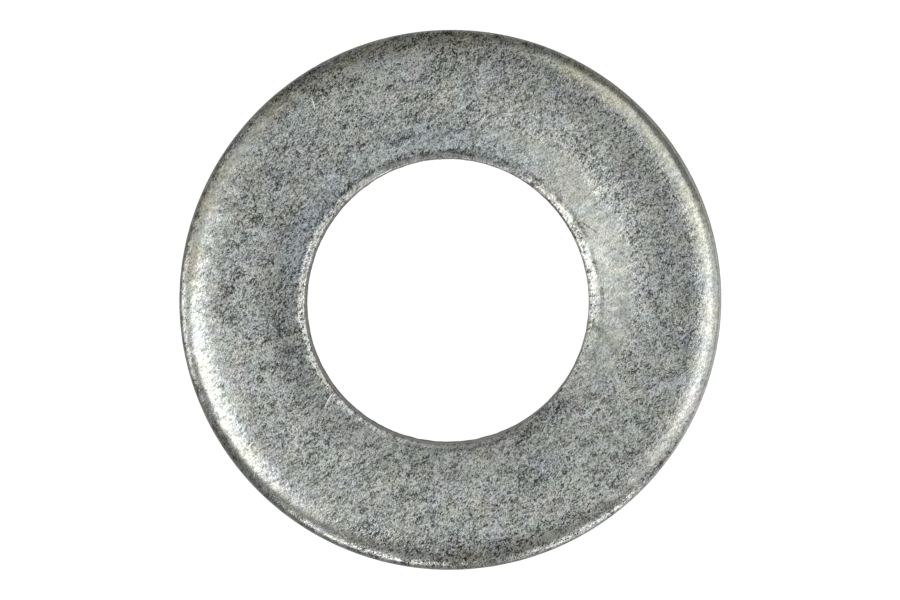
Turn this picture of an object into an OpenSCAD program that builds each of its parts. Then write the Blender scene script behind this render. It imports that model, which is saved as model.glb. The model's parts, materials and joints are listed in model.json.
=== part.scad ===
// Plain flat washer for an M10 bolt: one ring stamped from steel strip, tumbled and zinc plated.
// Both edges were cut from the upper side in one stroke. The cut drew the metal over into a roll
// at each edge of the upper face, sheared a smooth land into the outer wall, and tore the rest of
// that wall away, so it draws back a little towards the underside. The bore is a true cylinder.
// Origin: centre of the bore, on the underside. +Z runs up the bore to the rolled face.
// All sizes are in millimetres.

/* [Ring] */
// Outer diameter
outer_d = 20; // [18:0.1:24]
// Bore diameter, the clearance hole for an M10 bolt
bore_d = 10.5; // [10.2:0.1:11.5]
// Thickness, from the underside to the upper bearing face
thickness = 2; // [1.8:0.1:3]

/* [Outer roll of the upper face] */
// Radius of its long gentle sweep
rim_sweep_r = 4.8; // [3:0.1:6]
// Slope, in degrees, at which the sweep ends
rim_sweep_angle = 11.3; // [6:0.1:15]
// Radius of the bend that follows
rim_bend_r = 1.25; // [0.8:0.05:1.5]
// Slope, in degrees, at which the bend ends
rim_bend_angle = 34.6; // [20:0.1:40]
// Radius of the tight nose, where the roll turns down into the wall
rim_nose_r = 0.32; // [0.1:0.01:0.4]

/* [Bore roll of the upper face] */
// Radius of its gentle sweep
bore_sweep_r = 1.3; // [0.5:0.05:1.6]
// Slope, in degrees, at which the sweep ends
bore_sweep_angle = 12.5; // [6:0.1:20]
// Radius of the tight nose, where the roll turns down into the bore
bore_nose_r = 0.09; // [0.05:0.01:0.2]

/* [Outer wall and underside] */
// Height at which the outer wall's smooth land ends and the torn metal begins
rim_land_z = 0.85; // [0.4:0.05:0.9]
// How far the outer wall has drawn back by the underside
rim_tear = 0.06; // [0.01:0.01:0.1]
// Radius of the tumbled corners of the underside
corner_r = 0.09; // [0.05:0.01:0.15]

/* [Hidden] */

outer_r = outer_d / 2;
bore_r = bore_d / 2;
torn_r = outer_r - rim_tear;
arc_steps = 8;

// Points of a circular arc about centre, from one angle to another in degrees
function arc(centre, r, from, to, first = 0) = [
    for (i = [first:arc_steps])
        let (a = from + (to - from) * i / arc_steps)
        centre + r * [cos(a), sin(a)]
];

// The arcs of a rolled edge, one after another, each tangent to the last. A stage is the radius of
// its arc and the slope, in degrees, at which that arc ends
function bends(stages, i, slope, start) =
    i == len(stages) ? [] :
    let (
        r = stages[i][0],
        steeper = stages[i][1],
        centre = start - r * [sin(slope), cos(slope)],
        points = arc(centre, r, 90 - slope, 90 - steeper, 1)
    )
    concat(points, bends(stages, i + 1, steeper, points[len(points) - 1]));

// A rolled edge in its own axes, starting at [0, 0] where it leaves the upper face and falling to
// a wall on the +X side
function roll(stages) = concat([[0, 0]], bends(stages, 0, 0, [0, 0]));

// Radial width of that rolled edge
function roll_width(points) = points[len(points) - 1][0];

// An outline reflected left to right, and listed backwards so that it still runs the same way round
function reflected(points) = [for (i = [len(points) - 1:-1:0]) [-points[i][0], points[i][1]]];

// An outline moved so that its own [0, 0] lands on a place
function placed(points, place) = [for (p = points) p + place];

rim_roll = roll([[rim_sweep_r, rim_sweep_angle], [rim_bend_r, rim_bend_angle], [rim_nose_r, 90]]);
bore_roll = roll([[bore_sweep_r, bore_sweep_angle], [bore_nose_r, 90]]);

// One side of the washer's section, with radius along X and height along Y, clockwise from the
// foot of the bore: up the bore, over its roll, across the face, over the outer roll and down
section = concat(
    arc([bore_r + corner_r, corner_r], corner_r, 270, 180),
    placed(reflected(bore_roll), [bore_r + roll_width(bore_roll), thickness]),
    placed(rim_roll, [outer_r - roll_width(rim_roll), thickness]),
    [[outer_r, rim_land_z]],
    arc([torn_r - corner_r, corner_r], corner_r, 0, -90)
);

module washer() {
    color("silver")
        rotate_extrude($fn = 180)
            polygon(section);
}

washer();
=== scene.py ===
"""The looks of a zinc-plated flat washer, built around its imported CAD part.

Units are metres in the part's own frame: the underside lies on z = 0, and +Z runs up the bore to
the rolled face. The washer's mesh is one dense ring: the section of the CAD part, swept round, with
the relief that stamping and tumbling leave on it. Angles on the ring are counted from +X to +Y.
"""
import json
import math

import bpy
import numpy as np
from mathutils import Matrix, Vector


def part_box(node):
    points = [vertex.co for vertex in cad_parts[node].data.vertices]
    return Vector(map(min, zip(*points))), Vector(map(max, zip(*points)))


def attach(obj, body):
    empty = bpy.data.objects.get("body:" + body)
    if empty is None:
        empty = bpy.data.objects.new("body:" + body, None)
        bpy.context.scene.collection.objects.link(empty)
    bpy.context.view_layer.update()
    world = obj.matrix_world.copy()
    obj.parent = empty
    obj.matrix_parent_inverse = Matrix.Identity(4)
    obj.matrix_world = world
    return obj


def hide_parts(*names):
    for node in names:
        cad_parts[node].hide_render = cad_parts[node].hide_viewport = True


MM = 0.001

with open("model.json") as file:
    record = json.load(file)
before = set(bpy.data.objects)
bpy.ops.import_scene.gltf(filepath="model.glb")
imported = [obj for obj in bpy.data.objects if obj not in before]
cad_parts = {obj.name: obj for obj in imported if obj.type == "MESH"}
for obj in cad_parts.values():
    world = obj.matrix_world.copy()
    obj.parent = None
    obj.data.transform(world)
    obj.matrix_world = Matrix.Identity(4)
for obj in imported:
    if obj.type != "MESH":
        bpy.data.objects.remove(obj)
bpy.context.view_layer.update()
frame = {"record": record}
low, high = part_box("washer")
bore_mount = next(m for m in frame["record"]["mounts"] if m["name"] == "bore")

# The ring's driving sizes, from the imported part
OUTER_R = (high.x - low.x) / 2
THICKNESS = high.z - low.z
BORE_R = bore_mount["dims"]["r_mm"] * MM

# The rolled edges, as in the CAD part. Each stage is an arc: its radius, and the slope it ends at
RIM_ROLL = (
    (4.8 * MM, math.radians(11.3)),
    (1.25 * MM, math.radians(34.6)),
    (0.32 * MM, math.radians(90)),
)
BORE_ROLL = (
    (1.3 * MM, math.radians(12.5)),
    (0.09 * MM, math.radians(90)),
)

# The sheared walls and the tumbled corners below
LAND_Z = 0.85 * MM
RIM_TEAR = 0.06 * MM
CORNER_R = 0.09 * MM

# The uneven line where the land gives way to torn metal, and how far it blends above and below
LAND_RAGGED = 0.07 * MM
LAND_WAVE = 1.6 * MM
TEAR_ABOVE = 0.03 * MM
TEAR_BELOW = 0.05 * MM

# The shallow dish that the punch drew round the bore, wider towards one side. It draws down all that
# lies above DRAWN_Z, and fades to nothing at half the thickness
DISH_R = 7.94 * MM
DISH_OFFSET = 0.8 * MM
DISH_TURN = math.radians(64)
DISH_FADE = 2.07 * MM
DISH_SLOPE = math.radians(7.7)
DRAWN_Z = THICKNESS - 0.2 * MM

# The lip round the bore: a small ragged step down from the dish, with a painted highlight on two
# opposite sides. The mesh is finest as far as FINE_R, a little past it
LIP_R = 5.42 * MM
LIP_STEP = 0.012 * MM
LIP_SPREAD = 0.06 * MM
LIP_RAGGED = 0.02 * MM
LIP_WAVE = 0.5 * MM
LIP_HIGHLIGHT_TURN = math.radians(90)
FINE_R = LIP_R + 0.21 * MM

# The dark ragged seam of painted shade just outside the lip, on one side of the bore, and the bluish
# plate round it
SEAM_SHADE_OUT = 0.13 * MM
SEAM_SHADE_WIDTH = 0.13 * MM
SEAM_SHADE_TURN = math.radians(95)
COOL_R = 6.4 * MM
COOL_FADE = 0.3 * MM
COOL_TURN = math.radians(118)

# Where the plate rubbed smooth and bright: a band outside the lip, broadest on one side of the bore
BRIGHT_R = 6.15 * MM
BRIGHT_BROADER = 0.7 * MM
BRIGHT_FADE = 0.25 * MM
BRIGHT_RAGGED = 0.08 * MM
BRIGHT_WAVE = 1.2 * MM
BRIGHT_TURN = math.radians(52)
BROADEST_TURN = math.radians(25)

# The steeper part of the outer roll, and its nose: how far in from the outer edge each starts and
# is whole. The roll polished most on two opposite sides, and the nose is neat on one side
ROLLED_FROM = 0.95 * MM
ROLLED_WHOLE = 0.5 * MM
NOSE_FROM = 0.38 * MM
NOSE_WHOLE = 0.18 * MM
POLISH_TURN = math.radians(10)
NEAT_NOSE_TURN = math.radians(15)

# Further in: the outer part of the upper side that wore smooth round one bearing, with painted shade
# that dims the highlight there, and the ring of coarser grain where the outer roll begins, away from
# its two polished sides
WORN_FROM = 8.2 * MM
WORN_WHOLE = 8.8 * MM
WORN_MOST = 0.7
WORN_TURN = math.radians(-165)
COARSE_FROM = 8.6 * MM
COARSE_WHOLE = 9.0 * MM
COARSE_FADES = 9.3 * MM
COARSE_ENDS = 9.6 * MM

# The side on which the outer roll's plating has a warm tint
WARM_TURN = math.radians(95)

# How far from true the ring was stamped: its outline a little oval, its bore a little off centre.
# Inside SHIFT_R the ring moves with the bore, and outside OVAL_R it is drawn oval
OVAL = 0.027 * MM
OVAL_TURN = math.radians(24)
OVAL_R = 7 * MM
BORE_SHIFT = (-0.098 * MM, -0.052 * MM)
SHIFT_R = 8 * MM

# How far the plating and the drag of the punch closed the bore, in radius, and how far it is from
# round: a little oval, with three low lobes. All of it fades out between CLOSED_R and the lip's edge
BORE_CLOSED = 0.022 * MM
CLOSED_R = BORE_R + 0.1 * MM
BORE_OVAL = 0.014 * MM
BORE_OVAL_TURN = math.radians(72)
BORE_LOBES = 0.018 * MM
BORE_LOBES_TURN = math.radians(-31)

# The level about which the ripples sunk into the surface swing, in standard deviations, and the
# size of one unit of their depth. In the bore the torn metal is only BORE_SHARE as deep
RIPPLE_LEVEL = 1.6
RIPPLE_UNIT = 0.001 * MM
BORE_SHARE = 0.3

# The mesh
AROUND = 840
UNDERSIDE_STEPS = 20
SEED = 11

# The gap left round the two discs of the flat layout, as a share of its width
LAYOUT_MARGIN = 0.005


# ---------------------------------------------------------------- the section

def arc(centre, radius, start, end, steps):
    """Points of a circular arc, from one angle to another in radians, without its last point."""
    a = np.linspace(start, end, steps, endpoint=False)
    return np.column_stack([centre[0] + radius * np.cos(a), centre[1] + radius * np.sin(a)])


def line(start, end, steps):
    """Points of a straight stretch, without its last point."""
    t = np.linspace(0, 1, steps, endpoint=False)[:, None]
    return np.array(start) * (1 - t) + np.array(end) * t


def roll(stages, steps):
    """A rolled edge from [0, 0] on the upper face down to a wall on the +X side, an arc a stage."""
    points = [np.zeros((1, 2))]
    slope = 0.0
    for (radius, steeper), count in zip(stages, steps):
        a = np.linspace(slope, steeper, count + 1)[1:]
        run = radius * (np.sin(a) - math.sin(slope))
        fall = radius * (np.cos(a) - math.cos(slope))
        points.append(points[-1][-1] + np.column_stack([run, fall]))
        slope = steeper
    return np.vstack(points)


def section():
    """Radius and height round the section, from the bore's foot up, across and down the outside. The
    last number of each stretch is how many steps it is cut into."""
    torn_r = OUTER_R - RIM_TEAR
    outer_roll = roll(RIM_ROLL, (9, 9, 7))
    bore_roll = roll(BORE_ROLL, (8, 5))
    outer_roll += [OUTER_R - outer_roll[-1, 0], THICKNESS]
    bore_roll = [BORE_R + bore_roll[-1, 0], THICKNESS] + bore_roll[::-1] * [-1, 1]
    foot_r = BORE_R + CORNER_R
    past_lip = [FINE_R, THICKNESS]
    return np.vstack([
        arc([foot_r, CORNER_R], CORNER_R, -math.pi / 2, -math.pi, 3),
        line([BORE_R, CORNER_R], bore_roll[0], 10),
        bore_roll[:-1],
        line(bore_roll[-1], past_lip, 8),
        line(past_lip, outer_roll[0], 26),
        outer_roll[:-1],
        line(outer_roll[-1], [OUTER_R, LAND_Z], 3),
        line([OUTER_R, LAND_Z], [torn_r, CORNER_R], 8),
        arc([torn_r - CORNER_R, CORNER_R], CORNER_R, 0, -math.pi / 2, 3),
        line([torn_r - CORNER_R, 0], [foot_r, 0], UNDERSIDE_STEPS),
    ])


# ---------------------------------------------------------------- relief

# The zones that the mesh hands to the material
MATERIAL_ZONES = (
    "wall", "torn", "rolled", "nose", "neat", "warm", "polish", "worn_and_shaded", "coarse",
    "lip", "lip_highlight", "seam_shade", "cool", "bright",
)


def ripples(points, wavelength, rng, waves=48):
    """Smooth noise with about one wavelength, of unit variance: a sum of waves in all directions."""
    directions = rng.normal(size=(waves, 3))
    directions /= np.linalg.norm(directions, axis=1)[:, None]
    phases = rng.uniform(0, 2 * math.pi, waves)
    turns = points @ (directions.T * (2 * math.pi / wavelength)) + phases
    return np.cos(turns).sum(axis=1) * math.sqrt(2 / waves)


def ramp(values, start, end):
    """Smooth step from 0 at start to 1 at end."""
    t = np.clip((values - start) / (end - start), 0, 1)
    return t * t * (3 - 2 * t)


def dish(radius, turn):
    """Depth of the shallow dish round the bore, whose slope steepens smoothly towards the bore."""
    inside = DISH_R + DISH_OFFSET * np.cos(turn - DISH_TURN) - radius
    t = np.clip(inside / DISH_FADE, 0, 1)
    past = np.clip(inside - DISH_FADE, 0, None)
    return math.tan(DISH_SLOPE) * (DISH_FADE * (t ** 3 - t ** 4 / 2) + past)


def lay_out(mesh, base, turns):
    """A flat layout for baking: one disc of the upper side with both walls, one of the underside."""
    count = len(base)
    upper_count = count - UNDERSIDE_STEPS
    after = np.roll(base, -1, axis=0)
    run = np.concatenate([[0], np.cumsum(np.linalg.norm(after - base, axis=1))])
    middle = np.argmin(np.abs(base[:upper_count, 0] - (BORE_R + OUTER_R) / 2))
    unrolled = run + base[middle, 0] - run[middle]

    below = np.arange(count) >= upper_count
    near = np.where(below, base[:, 0], unrolled[:-1])
    far = np.where(below, after[:, 0], unrolled[1:])
    upper_reach = unrolled[upper_count]
    below_reach = base[upper_count, 0]
    spare = math.sqrt(2) * (1 - 2 * LAYOUT_MARGIN) - LAYOUT_MARGIN
    scale = spare / ((1 + math.sqrt(2)) * (upper_reach + below_reach))
    upper_centre = LAYOUT_MARGIN + scale * upper_reach
    below_centre = 1 - LAYOUT_MARGIN - scale * below_reach
    centre = np.where(below, below_centre, upper_centre)[:, None]

    reach = scale * np.stack([near, far, far, near], axis=-1)
    ends = np.append(turns, 2 * math.pi)
    angle = np.stack([ends[:-1], ends[:-1], ends[1:], ends[1:]], axis=-1)[:, None]
    across = centre + reach * np.cos(angle)
    up = centre + reach * np.sin(angle) * np.where(below, -1, 1)[:, None]
    layer = mesh.uv_layers.new(name="OFBake")
    layer.uv.foreach_set("vector", np.stack([across, up], axis=-1).astype(np.float32).ravel())


def towards(turn, side, start, whole):
    """A zone round one bearing on the ring. It starts and is whole where the cosine of the angle
    from that bearing is start and whole."""
    return ramp(np.cos(turn - side), start, whole)


def both_ways(turn, side, start, whole):
    """The same round one bearing and the opposite one."""
    return ramp(np.abs(np.cos(turn - side)), start, whole)


def find_zones(radius, height, turn, out_z, smooth, rng):
    """A value from 0 to 1 at every point for each zone that the relief or the material tells apart.
    out_z is how far the surface faces up: 1 on the upper face, 0 on the walls and -1 below. smooth
    holds the points before any relief."""
    flat = smooth * [1, 1, 0]
    upper = ramp(out_z, 0.0, 0.6)
    wall = 1 - ramp(np.abs(out_z), 0.25, 0.7)
    outside = (radius > (BORE_R + OUTER_R) / 2).astype(float)
    edge_of_land = LAND_Z + LAND_RAGGED * ripples(flat, LAND_WAVE, rng)
    torn = wall * ramp(height, edge_of_land + TEAR_ABOVE, edge_of_land - TEAR_BELOW)
    rolled = ramp(radius, OUTER_R - ROLLED_FROM, OUTER_R - ROLLED_WHOLE) * upper
    nose = ramp(radius, OUTER_R - NOSE_FROM, OUTER_R - NOSE_WHOLE) * upper

    lip_at = LIP_R + LIP_RAGGED * ripples(flat, LIP_WAVE, rng)
    lip = ramp(radius, lip_at + LIP_SPREAD, lip_at - LIP_SPREAD) * (1 - outside)
    # A seam of painted shade just outside the lip, on one side of the bore
    past_lip = np.abs(radius - lip_at - SEAM_SHADE_OUT) / SEAM_SHADE_WIDTH
    seam_shade = towards(turn, SEAM_SHADE_TURN, 0.2, 0.8) * upper * ramp(past_lip, 1.0, 0.3)
    cool = towards(turn, COOL_TURN, 0.2, 0.8) * upper * (1 - lip)
    cool = cool * ramp(radius, COOL_R + COOL_FADE, COOL_R - COOL_FADE)

    broader = BRIGHT_BROADER * towards(turn, BROADEST_TURN, 0.4, 0.95)
    past_band = radius - BRIGHT_R - broader + BRIGHT_RAGGED * ripples(flat, BRIGHT_WAVE, rng)
    bright = towards(turn, BRIGHT_TURN, -0.25, 0.5) * upper * (1 - lip)
    bright = bright * ramp(past_band, BRIGHT_FADE, -BRIGHT_FADE)
    worn_and_shaded = WORN_MOST * towards(turn, WORN_TURN, 0.5, 0.9) * upper * ramp(radius, WORN_FROM, WORN_WHOLE)
    polish = both_ways(turn, POLISH_TURN, 0.2, 0.7)
    coarse = (1 - polish) * upper * ramp(radius, COARSE_FROM, COARSE_WHOLE)
    return {
        "outside": outside, "upper": upper, "wall": wall, "torn": torn,
        "rolled": rolled, "nose": nose, "polish": polish, "worn_and_shaded": worn_and_shaded,
        "neat": nose * towards(turn, NEAT_NOSE_TURN, 0.5, 0.9),
        "warm": rolled * towards(turn, WARM_TURN, -0.2, 0.4),
        "coarse": coarse * ramp(radius, COARSE_ENDS, COARSE_FADES),
        "lip": lip, "seam_shade": seam_shade, "cool": cool, "bright": bright,
        # the lip's painted highlight, on two opposite sides
        "lip_highlight": lip * upper * both_ways(turn, LIP_HIGHLIGHT_TURN, 0.75, 0.97),
    }


def sunk_depth(zones, smooth, rng):
    """How deep the ripples of stamping, plating and tumbling lie at every point. A layer is its
    depth in RIPPLE_UNIT, where it lies, and its wavelength in millimetres."""
    face = 1 - zones["wall"]
    deep = zones["torn"] * (BORE_SHARE + (1 - BORE_SHARE) * zones["outside"])
    layers = (
        (2.0, face, 2.6),
        (1.2, face, 0.9),
        (1.0, 1.0, 0.42),
        (1.5, zones["rolled"], 0.6),
        (1.5, zones["lip"] * zones["upper"], 0.3),
        (12.0, deep, 0.45),
        (6.0, deep, 0.22),
    )
    sunk = 0.0
    for depth, where, wavelength in layers:
        sunk = sunk + depth * where * (RIPPLE_LEVEL + ripples(smooth, wavelength * MM, rng))
    return np.clip(sunk, 0, None) * RIPPLE_UNIT


def ring_mesh():
    """The washer's mesh, with a value at each point for every zone that the material reads."""
    rng = np.random.default_rng(SEED)
    base = section()
    count = len(base)
    turns = np.arange(AROUND) * (2 * math.pi / AROUND)

    tangent = np.roll(base, -1, axis=0) - np.roll(base, 1, axis=0)
    tangent /= np.linalg.norm(tangent, axis=1)[:, None]
    outward = np.column_stack([-tangent[:, 1], tangent[:, 0]])

    radius = np.tile(base[:, 0], AROUND)
    height = np.tile(base[:, 1], AROUND)
    out_r = np.tile(outward[:, 0], AROUND)
    out_z = np.tile(outward[:, 1], AROUND)
    turn = np.repeat(turns, count)
    smooth = np.column_stack([radius * np.cos(turn), radius * np.sin(turn), height])
    zones = find_zones(radius, height, turn, out_z, smooth, rng)
    sunk = sunk_depth(zones, smooth, rng)

    shift = ramp(radius, SHIFT_R, BORE_R)
    oval = OVAL * (1 - np.cos(2 * (turn - OVAL_TURN))) * ramp(radius, OVAL_R, OUTER_R)
    closed = BORE_CLOSED - BORE_OVAL * np.cos(2 * (turn - BORE_OVAL_TURN))
    closed = closed - BORE_LOBES * np.cos(3 * (turn - BORE_LOBES_TURN))
    closed = closed * ramp(radius, LIP_R, CLOSED_R)
    drawn = (dish(radius, turn) + LIP_STEP * zones["lip"]) * ramp(height, THICKNESS / 2, DRAWN_Z)
    height = height - drawn - out_z * sunk
    radius = radius - out_r * sunk - oval - closed
    points = np.column_stack([
        radius * np.cos(turn) + BORE_SHIFT[0] * shift,
        radius * np.sin(turn) + BORE_SHIFT[1] * shift,
        height,
    ])

    here = np.arange(AROUND * count).reshape(AROUND, count)
    beside = np.roll(here, -1, axis=0)
    quads = np.stack([here, np.roll(here, -1, axis=1), np.roll(beside, -1, axis=1), beside], axis=-1)

    mesh = bpy.data.meshes.new("washer_plated")
    mesh.from_pydata(points.tolist(), [], quads.reshape(-1, 4).tolist())
    for name in MATERIAL_ZONES:
        attribute = mesh.attributes.new(name, "FLOAT", "POINT")
        attribute.data.foreach_set("value", zones[name].astype(np.float32))
    mesh.polygons.foreach_set("use_smooth", np.ones(len(mesh.polygons), bool))
    lay_out(mesh, base, turns)
    mesh.update()
    return mesh


# ---------------------------------------------------------------- material

class Nodes:
    """Short calls for building one material's node tree."""

    def __init__(self, tree):
        self.tree = tree
        tree.nodes.clear()

    def add(self, kind, inputs=None, **settings):
        """A node of a kind, with its settings, and its inputs set or linked by name or number."""
        made = self.tree.nodes.new(kind)
        for key, value in settings.items():
            setattr(made, key, value)
        for key, value in (inputs or {}).items():
            self.feed(made.inputs[key], value)
        return made

    def feed(self, socket, value):
        """Links an output to a socket, or sets the socket's own value."""
        if isinstance(value, bpy.types.NodeSocket):
            self.tree.links.new(value, socket)
        else:
            socket.default_value = value

    def maths(self, operation, a, b):
        """A sum, product or other result of two values."""
        return self.add("ShaderNodeMath", {0: a, 1: b}, operation=operation).outputs[0]

    def attribute(self, name):
        """The value that the mesh gives each point under a name."""
        return self.add("ShaderNodeAttribute", attribute_name=name).outputs["Fac"]

    def place(self, vector, scale=(1, 1, 1), turn=0.0, move=(0, 0, 0)):
        """The vector turned by an angle about Z, then scaled, for stretched or moved patterns."""
        turned = self.add("ShaderNodeVectorRotate", {"Vector": vector, "Angle": -turn}).outputs[0]
        made = self.add("ShaderNodeMapping", {"Vector": turned, "Scale": scale, "Location": move})
        return made.outputs[0]

    def noise(self, vector, size, detail=2.0, roughness=0.5):
        """Noise whose features are about size across, from 0 to 1 about a mean of 0.5."""
        inputs = {"Vector": vector, "Scale": 1 / size, "Detail": detail, "Roughness": roughness}
        return self.add("ShaderNodeTexNoise", inputs).outputs["Fac"]

    def cells(self, vector, size):
        """A random tone from 0 to 1 for each of many small irregular cells, about size across."""
        made = self.add("ShaderNodeTexVoronoi", {"Vector": vector, "Scale": 1 / size})
        return self.add("ShaderNodeSeparateColor", {0: made.outputs["Color"]}).outputs[0]

    def remap(self, value, low_in, high_in, low_out=0.0, high_out=1.0, smooth=False):
        """A value carried from one range to another, and held at its ends."""
        inputs = {
            "Value": value,
            "From Min": low_in, "From Max": high_in,
            "To Min": low_out, "To Max": high_out,
        }
        interpolation = "SMOOTHSTEP" if smooth else "LINEAR"
        return self.add("ShaderNodeMapRange", inputs, interpolation_type=interpolation).outputs[0]

    def blend(self, share, a, b):
        """A value that goes from a to b as share goes from 0 to 1."""
        return self.add("ShaderNodeMix", {0: share, 2: a, 3: b}).outputs[0]

    def mix(self, share, a, b, blend="MIX"):
        """Two colours mixed."""
        inputs = {0: share, 6: a, 7: b}
        return self.add("ShaderNodeMix", inputs, data_type="RGBA", blend_type=blend).outputs[2]

    def colour(self, red, green, blue):
        """A colour from its three parts."""
        return self.add("ShaderNodeCombineColor", {0: red, 1: green, 2: blue}).outputs[0]


# The bearing along which the strip was rolled
ROLLING_TURN = math.radians(35)

# How strongly each size of fleck shows in the plate's tone
CRYSTAL_TONE = 0.6
GRAIN_TONE = 1.9
FLECK_TONE = 0.95
STREAK_TONE = 0.65
CLOUD_TONE = 0.35

# The tone that they swing about on the face and on the outer roll, how much lighter or darker each
# other zone is than those, and the limits of it all
FACE_TONE = 0.58
ROLL_TONE = 0.67
BRIGHT_TONE = 0.06
# The worn band's darker tone is painted shade that dims the highlight there
WORN_SHADE_TONE = -0.07
# How much the lip's painted highlight lightens it on its two sides
LIP_HIGHLIGHT_TONE = 0.22
# The walls' lighter tone is a painted reflection of the floor
WALL_REFLECTION_TONE = 0.28
DARKEST = 0.08
LIGHTEST = 0.97

# How far the tone swings in each zone, against 1 on the plain face
CALM_SWING = 0.5
DULL_ROLL_SWING = 1.6
POLISHED_ROLL_SWING = 0.5
NEAT_SWING = 0.35
COARSE_SWING = 1.3

# The bare steel where the walls tore: its darkest and lightest tone, the share of blue that it
# keeps, and how much of it shows
BARE_DARKEST = 0.16
BARE_LIGHTEST = 0.44
BARE_BLUE = 0.93
BARE_SHARE = 0.75

# Roughness of the plate in its dark flecks and its light ones, and what is added to it elsewhere
DARK_ROUGH = 0.29
LIGHT_ROUGH = 0.22
TORN_ROUGHER = 0.2
LIP_ROUGHER = 0.05
NICK_ROUGHER = 0.15

# The unit of the fine relief, and the heights of its patterns in that unit, against 1 for the grain
RELIEF_UNIT = 0.006 * MM
FLECK_HEIGHT = 1.5
DRAG_HEIGHT = 3.0
CRUMB_HEIGHT = 8.0
SCRATCH_DEPTH = 1.1

# Marks on the upper face: bearing and radius of the middle, the way it points, half its length,
# half its width, and how much lighter it is. First the scratches and nicks
SCRATCHES = (
    (-140.2, 5.80, -118, 0.42, 0.048, 1.2),
    (-157.9, 6.12, 83, 0.24, 0.07, 0.45),
    (124.9, 8.75, -76, 0.26, 0.045, 0.8),
    (27.8, 5.77, -34, 0.46, 0.045, -0.35),
    (20.4, 6.06, 57, 0.11, 0.035, -0.6),
    (-102.0, 8.2, 20, 0.45, 0.03, 0.4),
    (118.0, 7.4, 65, 0.5, 0.03, 0.4),
)

# Then the broad soft patches. The three on the open face are where the plate is duller; those along
# the lip are painted shade and painted highlights, and those on the outer roll are painted highlights
PLATE_AND_LIGHT_PATCHES = (
    (-165, 6.1, -255, 2.6, 0.75, -0.15),
    (-165, 8.5, -255, 3.2, 0.75, 0.11),
    (105, 8.95, 15, 3.2, 0.40, 0.16),
    (103, 6.27, 13, 1.8, 0.28, -0.14),
    (150, 7.95, 60, 2.6, 0.90, -0.08),
    (-60, 5.70, 30, 1.0, 0.17, -0.30),
    (-44, 5.67, 46, 0.7, 0.14, -0.30),
    (127, 5.34, 37, 1.3, 0.16, 0.30),
    (-97, 5.35, -7, 1.2, 0.15, 0.25),
    (-16, 5.62, 74, 0.7, 0.10, -0.12),
    (0, 5.60, 90, 0.9, 0.10, -0.22),
    (-6, 5.38, 84, 1.2, 0.11, -0.16),
    (15, 5.50, 105, 0.8, 0.12, -0.22),
    (30, 5.53, 120, 0.7, 0.12, -0.22),
    (25, 5.33, 115, 1.0, 0.15, -0.20),
    (-179.5, 5.47, -89.5, 1.4, 0.16, -0.15),
    (-164, 5.56, -74, 1.0, 0.12, -0.14),
    (-150, 5.61, -60, 0.9, 0.13, -0.18),
    (-76, 9.33, 14, 0.9, 0.16, 0.20),
    (-68, 9.3, 22, 2.0, 0.40, 0.10),
)


def centred(n, pattern, strength):
    """A pattern about 0.5, shifted to swing about 0 with a strength."""
    return n.maths("MULTIPLY", n.maths("SUBTRACT", pattern, 0.5), strength)


def total(n, values):
    """The sum of several values."""
    result = values[0]
    for value in values[1:]:
        result = n.maths("ADD", result, value)
    return result


def mark(n, spot, bearing, radius, way, half_length, half_width, lighter):
    """One handling mark or soft patch, as a change of tone, which for most patches is a painted
    highlight or painted shade. Angles are in degrees and lengths in millimetres.
    """
    pointing = math.radians(way)
    aside = math.radians(bearing) - pointing
    scale = (1 / (half_length * MM), 1 / (half_width * MM), 0)
    middle = (radius * math.cos(aside) / half_length, radius * math.sin(aside) / half_width, 0)
    local = n.place(spot, scale=scale, turn=pointing, move=(-middle[0], -middle[1], 0))
    away = n.add("ShaderNodeVectorMath", {0: local}, operation="LENGTH").outputs["Value"]
    return n.remap(away, 1.0, 0.4, 0, lighter, smooth=True)


def needles(n, spot, way):
    """Short fine nicks that all point one way, sparsely scattered."""
    cell = 0.35 * MM
    stretched = n.place(spot, scale=(0.1, 1, 1), turn=math.radians(way), move=(way * MM, 0, 0))
    inputs = {"Vector": stretched, "Scale": 1 / cell}
    scattered = n.add("ShaderNodeTexVoronoi", inputs, voronoi_dimensions="2D")
    chance = n.add("ShaderNodeSeparateColor", {0: scattered.outputs["Color"]}).outputs[0]
    nick = n.remap(scattered.outputs["Distance"], 0.08, 0.03)
    return n.maths("MULTIPLY", nick, n.remap(chance, 0.6, 0.7))


def plate_grain(n, spot):
    """The tone of all the plate's patterns, stretched along the strip's rolling or a little across
    it, then its flecks alone and its grain alone."""
    along = n.place(spot, scale=(0.42, 1, 1), turn=ROLLING_TURN)
    across = n.place(spot, scale=(0.72, 1, 1), turn=ROLLING_TURN + math.radians(25))
    crystal = n.cells(across, 0.06 * MM)
    grain = n.noise(across, 0.045 * MM, detail=1.0, roughness=0.6)
    fleck = n.noise(n.place(along, move=(0.01, 0, 0)), 0.115 * MM, detail=1.5, roughness=0.6)
    streak = n.noise(along, 0.32 * MM, detail=2.0, roughness=0.55)
    cloud = n.noise(along, 1.3 * MM, detail=2.0, roughness=0.5)
    tone = total(n, [
        centred(n, crystal, CRYSTAL_TONE),
        centred(n, grain, GRAIN_TONE),
        centred(n, fleck, FLECK_TONE),
        centred(n, streak, STREAK_TONE),
        centred(n, cloud, CLOUD_TONE),
    ])
    return tone, fleck, grain


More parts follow.
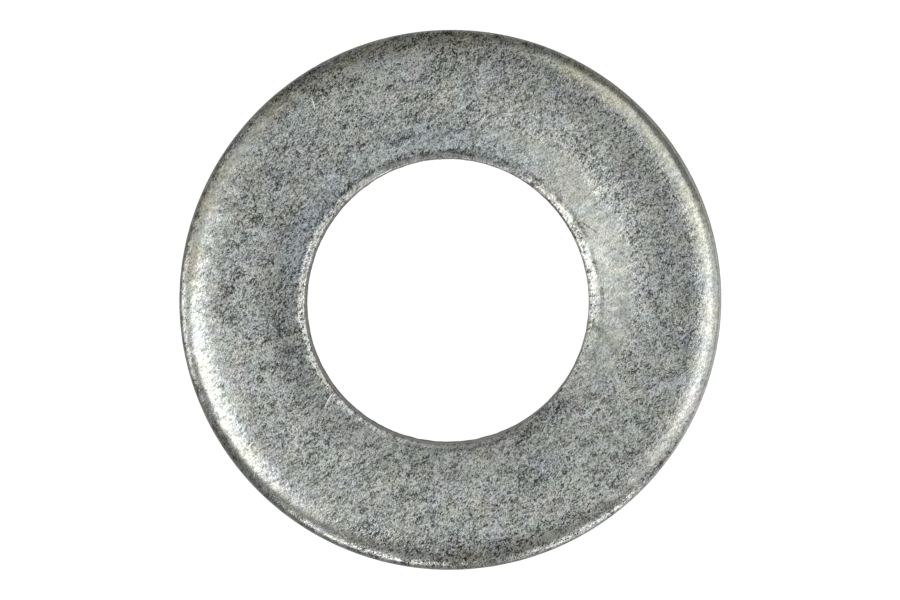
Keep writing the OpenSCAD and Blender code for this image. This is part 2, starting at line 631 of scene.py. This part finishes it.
def plate_shade(n, spot, zone, tone, roll, calm, marks, dragged):
    """How light the metal is: the plate's tone, swinging less where it is smooth, with its marks, and
    with painted highlights and painted shade on the lip, the rolls and the walls.
    """
    on_roll = n.remap(zone["polish"], 0, 1, DULL_ROLL_SWING, POLISHED_ROLL_SWING)
    swing = n.blend(roll, n.remap(calm, 0, 1, 1.0, CALM_SWING), on_roll)
    swing = n.blend(zone["neat"], swing, NEAT_SWING)
    swing = n.maths("MULTIPLY", swing, n.remap(zone["coarse"], 0, 1, 1.0, COARSE_SWING))
    lumps = n.noise(spot, 0.13 * MM, detail=2.0, roughness=0.6)
    tone = total(n, [
        n.maths("MULTIPLY", tone, swing),
        # soft patches: duller plate on the face, painted highlights and painted shade on the lip and
        # the roll
        *[mark(n, spot, *row) for row in PLATE_AND_LIGHT_PATCHES],
        n.maths("MULTIPLY", zone["bright"], BRIGHT_TONE),
        # painted shade over the worn band
        n.maths("MULTIPLY", zone["worn_and_shaded"], WORN_SHADE_TONE),
        # painted highlight on two opposite sides of the lip
        n.maths("MULTIPLY", zone["lip_highlight"], LIP_HIGHLIGHT_TONE),
        marks,
        n.maths("MULTIPLY", zone["lip"], centred(n, lumps, 0.8)),
    ])
    # On the walls, drag lines over a lighter tone that is a painted reflection of the floor
    tone = n.blend(zone["wall"], tone, n.maths("ADD", centred(n, dragged, 0.8), WALL_REFLECTION_TONE))

    scuffed = n.remap(n.noise(spot, 0.3 * MM, detail=2.0), 0.45, 0.7, 0, 0.25)
    scuffed = n.blend(zone["neat"], scuffed, 0.0)
    # How dark the seam's painted shade is, ragged along it
    ragged = n.remap(n.noise(spot, 0.14 * MM, detail=2.0), 0.35, 0.65, -0.15, -0.38)
    shade = total(n, [
        n.remap(zone["rolled"], 0, 1, FACE_TONE, ROLL_TONE),
        n.maths("MULTIPLY", zone["nose"], n.remap(scuffed, 0, 1, -0.07, -1.07)),
        n.maths("MULTIPLY", zone["seam_shade"], ragged),
        tone,
    ])
    return n.maths("MINIMUM", n.maths("MAXIMUM", shade, DARKEST), LIGHTEST)


def plate_hue(n, spot, zone):
    """The plate's faint drift of colour: bluish on one side, and warmer on the rolls and where it
    wore bright."""
    edge = n.maths("MAXIMUM", zone["rolled"], zone["lip"])
    reddish = n.noise(spot, 1.0 * MM, detail=3.0, roughness=0.6)
    bluish = n.noise(n.place(spot, move=(0.05, 0, 0)), 0.9 * MM, detail=3.0, roughness=0.6)
    red = total(n, [
        n.remap(reddish, 0.3, 0.7, 0.907, 1.003),
        n.maths("MULTIPLY", edge, 0.03),
        n.maths("MULTIPLY", zone["bright"], 0.012),
        n.maths("MULTIPLY", zone["cool"], -0.035),
    ])
    blue = total(n, [
        n.remap(bluish, 0.3, 0.7, 0.885, 1.02),
        n.maths("MULTIPLY", edge, -0.015),
        n.maths("MULTIPLY", zone["bright"], -0.03),
        n.maths("MULTIPLY", zone["cool"], 0.07),
        n.maths("MULTIPLY", zone["warm"], n.remap(reddish, 0.35, 0.65, 0.0, -0.12)),
    ])
    return n.colour(red, 1.0, blue)


def plate_relief(n, zone, fleck, grain, roll, calm, grooves, dragged, crumbs):
    """Height of the finest relief: the grain, the scratches, the drag lines and the torn crumbs."""
    relief = n.maths("ADD", grain, n.maths("MULTIPLY", fleck, FLECK_HEIGHT))
    swing = n.remap(calm, 0, 1, 1.0, 0.3)
    swing = n.blend(roll, swing, n.remap(zone["polish"], 0, 1, 0.8, 0.3))
    relief = n.maths("MULTIPLY", relief, n.blend(zone["neat"], swing, 0.3))
    relief = n.blend(zone["wall"], relief, n.maths("MULTIPLY", dragged, DRAG_HEIGHT))
    relief = n.blend(zone["torn"], relief, n.maths("MULTIPLY", crumbs, CRUMB_HEIGHT))
    cut = n.maths("MULTIPLY", n.maths("MAXIMUM", grooves, 0.0), SCRATCH_DEPTH)
    return n.maths("SUBTRACT", relief, cut)


def zinc_material():
    """Tumbled zinc plate: mottled and flecked on the faces, brighter on the rolls, torn below."""
    material = bpy.data.materials.new("zinc_plate")
    material.use_nodes = True
    n = Nodes(material.node_tree)
    spot = n.add("ShaderNodeTexCoord").outputs["Object"]
    zone = {name: n.attribute(name) for name in MATERIAL_ZONES}

    # The roll without its nose, and where the plate's grain is calmer
    roll = n.maths("SUBTRACT", zone["rolled"], zone["nose"])
    rubbed_smooth = n.maths("MULTIPLY", zone["bright"], n.remap(zone["cool"], 0, 1, 1.0, 0.3))
    calm = n.maths("MAXIMUM", rubbed_smooth, zone["worn_and_shaded"])

    nicks = total(n, [needles(n, spot, way) for way in (15, 75, 135)])
    grooves = total(n, [mark(n, spot, *row) for row in SCRATCHES])
    marks = n.maths("ADD", grooves, n.maths("MULTIPLY", nicks, 0.3))
    dragged = n.noise(n.place(spot, scale=(1, 1, 0.06)), 0.09 * MM, detail=2.0, roughness=0.6)
    crumbs = n.noise(spot, 0.2 * MM, detail=3.0, roughness=0.65)
    tone, fleck, grain = plate_grain(n, spot)

    shade = plate_shade(n, spot, zone, tone, roll, calm, marks, dragged)
    plate = n.mix(1.0, plate_hue(n, spot, zone), n.colour(shade, shade, shade), blend="MULTIPLY")
    bare = n.remap(crumbs, 0.3, 0.7, BARE_DARKEST, BARE_LIGHTEST)
    steel = n.colour(bare, bare, n.maths("MULTIPLY", bare, BARE_BLUE))
    colour = n.mix(n.maths("MULTIPLY", zone["torn"], BARE_SHARE), plate, steel)
    rough = total(n, [
        n.remap(fleck, 0.3, 0.7, DARK_ROUGH, LIGHT_ROUGH),
        n.maths("MULTIPLY", zone["torn"], TORN_ROUGHER),
        n.maths("MULTIPLY", zone["lip"], LIP_ROUGHER),
        n.maths("MULTIPLY", nicks, NICK_ROUGHER),
    ])
    relief = plate_relief(n, zone, fleck, grain, roll, calm, grooves, dragged, crumbs)
    inputs = {"Strength": 1.0, "Distance": RELIEF_UNIT, "Height": relief}
    bumped = n.add("ShaderNodeBump", inputs).outputs[0]

    inputs = {"Base Color": colour, "Metallic": 1.0, "Roughness": rough, "Normal": bumped}
    shader = n.add("ShaderNodeBsdfPrincipled", inputs)
    n.add("ShaderNodeOutputMaterial", {"Surface": shader.outputs[0]})
    return material


def make_washer():
    """The detailed ring, which stands for the CAD one."""
    washer = bpy.data.objects.new("washer_plated", ring_mesh())
    bpy.context.scene.collection.objects.link(washer)
    washer.data.materials.append(zinc_material())
    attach(washer, "root")
    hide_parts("washer")


# ---------------------------------------------------------------- studio

# The bearing on which the card glows beside the washer, and where the glow starts and is whole
GLOW_TURN = math.radians(-20)
GLOW_START = 8.5 * MM
GLOW_WHOLE = 15 * MM
GLOW_LEAST = 0.1
GLOW_MOST = 0.5

# The card's own tone, what the camera's view of it is lifted by, and half its width
CARD_TONE = 0.25
CARD_LIFT = 0.97
CARD_HALF = 1.5

# The brightness of the room as the washer reflects it, and as the camera sees it
ROOM_LIGHT = 0.18
ROOM_SEEN = 1.0

# How far the lights stand from the washer
LIGHT_DISTANCE = 0.5

# The camera: how far off it stands, the width it sees at the upper face, how far it leans off the
# vertical and to which side, and where on the upper face it aims
CAMERA_DISTANCE = 0.16
FRAME_WIDTH = 33.054 * MM
CAMERA_LEAN = math.radians(1.5)
CAMERA_TURN = math.radians(45)
AIM = (0.010 * MM, 0.016 * MM)


def direction(lean, bearing):
    """The unit vector that leans off the vertical towards a bearing."""
    return Vector((
        math.sin(lean) * math.cos(bearing),
        math.sin(lean) * math.sin(bearing),
        math.cos(lean),
    ))


def floor_material():
    """Pale matt card, which glows on one side as if lit through. The camera sees it all lifted to a
    clean white, as an overexposed backdrop is."""
    material = bpy.data.materials.new("studio_card")
    material.use_nodes = True
    n = Nodes(material.node_tree)
    spot = n.add("ShaderNodeTexCoord").outputs["Object"]
    ahead = n.add("ShaderNodeSeparateXYZ", {0: n.place(spot, turn=GLOW_TURN)}).outputs[0]
    strength = n.remap(ahead, GLOW_START, GLOW_WHOLE, GLOW_LEAST, GLOW_MOST, smooth=True)
    glow = n.add("ShaderNodeEmission", {"Color": (1, 1, 1, 1), "Strength": strength})
    card = n.add("ShaderNodeBsdfDiffuse", {"Color": (CARD_TONE, CARD_TONE, CARD_TONE, 1)})
    lit = n.add("ShaderNodeAddShader", {0: card.outputs[0], 1: glow.outputs[0]})
    lift = n.add("ShaderNodeEmission", {"Color": (1, 1, 1, 1), "Strength": CARD_LIFT})
    white = n.add("ShaderNodeAddShader", {0: card.outputs[0], 1: lift.outputs[0]})
    seen = n.add("ShaderNodeLightPath").outputs["Is Camera Ray"]
    front = n.add("ShaderNodeMixShader", {0: seen, 1: lit.outputs[0], 2: white.outputs[0]})
    clear = n.add("ShaderNodeBsdfTransparent")
    back = n.add("ShaderNodeNewGeometry").outputs["Backfacing"]
    sided = n.add("ShaderNodeMixShader", {0: back, 1: front.outputs[0], 2: clear.outputs[0]})
    n.add("ShaderNodeOutputMaterial", {"Surface": sided.outputs[0]})
    return material


def make_floor():
    """The card that the washer lies on, with its upper side at the washer's underside."""
    mesh = bpy.data.meshes.new("floor")
    corners = [(x * CARD_HALF, y * CARD_HALF, 0) for x, y in ((-1, -1), (1, -1), (1, 1), (-1, 1))]
    mesh.from_pydata(corners, [], [(0, 1, 2, 3)])
    floor = bpy.data.objects.new("floor", mesh)
    bpy.context.scene.collection.objects.link(floor)
    mesh.materials.append(floor_material())


def make_world():
    """A dim grey room, which the camera sees as white."""
    world = bpy.data.worlds.new("studio")
    world.use_nodes = True
    n = Nodes(world.node_tree)
    seen = n.add("ShaderNodeLightPath").outputs["Is Camera Ray"]
    strength = n.remap(seen, 0, 1, ROOM_LIGHT, ROOM_SEEN)
    room = n.add("ShaderNodeBackground", {"Color": (1, 1, 1, 1), "Strength": strength})
    n.add("ShaderNodeOutputWorld", {"Surface": room.outputs[0]})
    bpy.context.scene.world = world


def softbox(name, turn, tilt, wide, tall, brightness):
    """An area light aimed at the washer. turn is its bearing, tilt its angle off the vertical, and
    wide and tall the angles that it fills, all in degrees. brightness is its surface's radiance."""
    width = 2 * LIGHT_DISTANCE * math.tan(math.radians(wide / 2))
    height = 2 * LIGHT_DISTANCE * math.tan(math.radians(tall / 2))
    light = bpy.data.lights.new(name, "AREA")
    light.shape = "RECTANGLE"
    light.size = height
    light.size_y = width
    light.energy = brightness * math.pi * width * height
    lamp = bpy.data.objects.new(name, light)
    bpy.context.scene.collection.objects.link(lamp)
    bearing = math.radians(turn)
    lean = math.radians(tilt)
    lamp.location = direction(lean, bearing) * LIGHT_DISTANCE
    lamp.rotation_euler = (0, lean, bearing)
    lamp.visible_camera = False


def make_lights():
    """The lights that the washer reflects. Most of them show in its rolls and its dish."""
    softbox("key", turn=165, tilt=48, wide=40, tall=45, brightness=0.4)
    softbox("key_core", turn=-155, tilt=31, wide=25, tall=27, brightness=1.85)
    softbox("side", turn=15, tilt=36, wide=65, tall=30, brightness=0.65)
    softbox("high", turn=80, tilt=12, wide=25, tall=14, brightness=0.35)
    softbox("front", turn=-120, tilt=7, wide=60, tall=9, brightness=0.65)
    softbox("low_right", turn=-10, tilt=56, wide=50, tall=50, brightness=0.65)
    softbox("low_front", turn=-60, tilt=75, wide=25, tall=25, brightness=1.3)
    softbox("low_corner", turn=-110, tilt=63, wide=25, tall=12, brightness=2.25)
    softbox("low_left", turn=-175, tilt=76, wide=25, tall=30, brightness=1.3)


def make_camera():
    """Looks almost straight down, from a little to the right of the middle and above it."""
    camera = bpy.data.cameras.new("camera")
    camera.lens = camera.sensor_width * CAMERA_DISTANCE / FRAME_WIDTH
    eye = bpy.data.objects.new("camera", camera)
    bpy.context.scene.collection.objects.link(eye)
    aim = Vector((*AIM, THICKNESS))
    eye.location = aim + direction(CAMERA_LEAN, CAMERA_TURN) * CAMERA_DISTANCE
    eye.rotation_euler = (-CAMERA_LEAN * math.sin(CAMERA_TURN), CAMERA_LEAN * math.cos(CAMERA_TURN), 0)
    camera.clip_start = CAMERA_DISTANCE / 10
    camera.clip_end = 10
    bpy.context.scene.camera = eye


make_camera()
make_washer()
make_floor()
make_world()
make_lights()
bpy.context.scene.view_settings.view_transform = "Standard"
